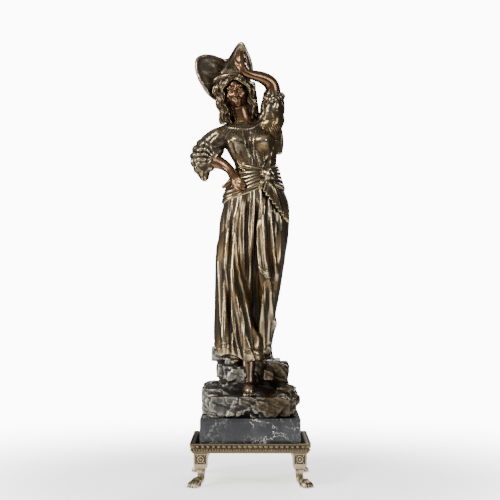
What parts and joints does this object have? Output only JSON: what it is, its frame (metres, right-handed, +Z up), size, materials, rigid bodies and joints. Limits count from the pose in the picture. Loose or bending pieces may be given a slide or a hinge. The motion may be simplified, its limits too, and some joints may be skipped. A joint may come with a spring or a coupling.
{
  "type": "bronze woman statue",
  "caption": "Cast bronze standing woman in a wide soft hat, one hand on her hip, on a black marble plinth in a square brass stand with paw feet.",
  "frame": {"origin": "on the floor, under the middle of the stand", "axes": "+Z up, the woman faces -Y, her left side is at +X"},
  "size_m": [0.2243, 0.2238, 0.8015],
  "materials": {
    "dark_bronze": "dark brown patina, rubbed bright on the ridges",
    "black_marble": "polished black stone with thin white veins",
    "antique_brass": "worn antique brass"
  },
  "bodies": {
    "root": {"bronze_figure": "dark_bronze", "marble_plinth": "black_marble", "stand_tray": "antique_brass", "stand_leg_front_left": "antique_brass", "stand_leg_front_right": "antique_brass", "stand_leg_back_left": "antique_brass", "stand_leg_back_right": "antique_brass"}
  },
  "joints": []
}
